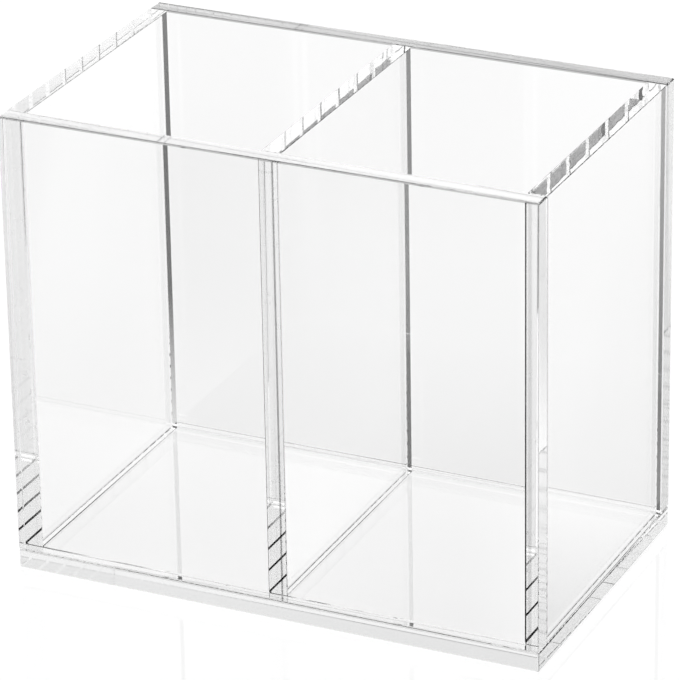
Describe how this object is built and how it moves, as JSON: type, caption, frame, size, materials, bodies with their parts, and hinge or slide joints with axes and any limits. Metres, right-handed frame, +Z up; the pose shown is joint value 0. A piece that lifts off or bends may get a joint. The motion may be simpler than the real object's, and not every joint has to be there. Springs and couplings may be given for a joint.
{
  "type": "pen holder",
  "caption": "Clear rectangular desk box, open at the top, parted by a divider, made of cemented acrylic sheet, for standing pens and brushes.",
  "frame": {"origin": "middle of the underside, on the surface the holder stands on", "axes": "+X to the right along the longer side, +Z up, the front as the picture shows it faces -Y"},
  "size_m": [0.11, 0.067, 0.095],
  "materials": {
    "clear_acrylic": "clear cast acrylic sheet, gloss faces and polished edges",
    "acrylic_cement": "clear cured acrylic cement"
  },
  "bodies": {
    "root": {"base_panel": "clear_acrylic", "front_panel": "clear_acrylic", "back_panel": "clear_acrylic", "left_panel": "clear_acrylic", "right_panel": "clear_acrylic", "divider_panel": "clear_acrylic", "seam_base_front": "acrylic_cement", "seam_base_back": "acrylic_cement", "seam_base_left": "acrylic_cement", "seam_base_divider": "acrylic_cement", "seam_base_right": "acrylic_cement", "seam_front_left": "acrylic_cement", "seam_front_divider": "acrylic_cement", "seam_front_right": "acrylic_cement", "seam_back_left": "acrylic_cement", "seam_back_divider": "acrylic_cement", "seam_back_right": "acrylic_cement"}
  },
  "joints": []
}
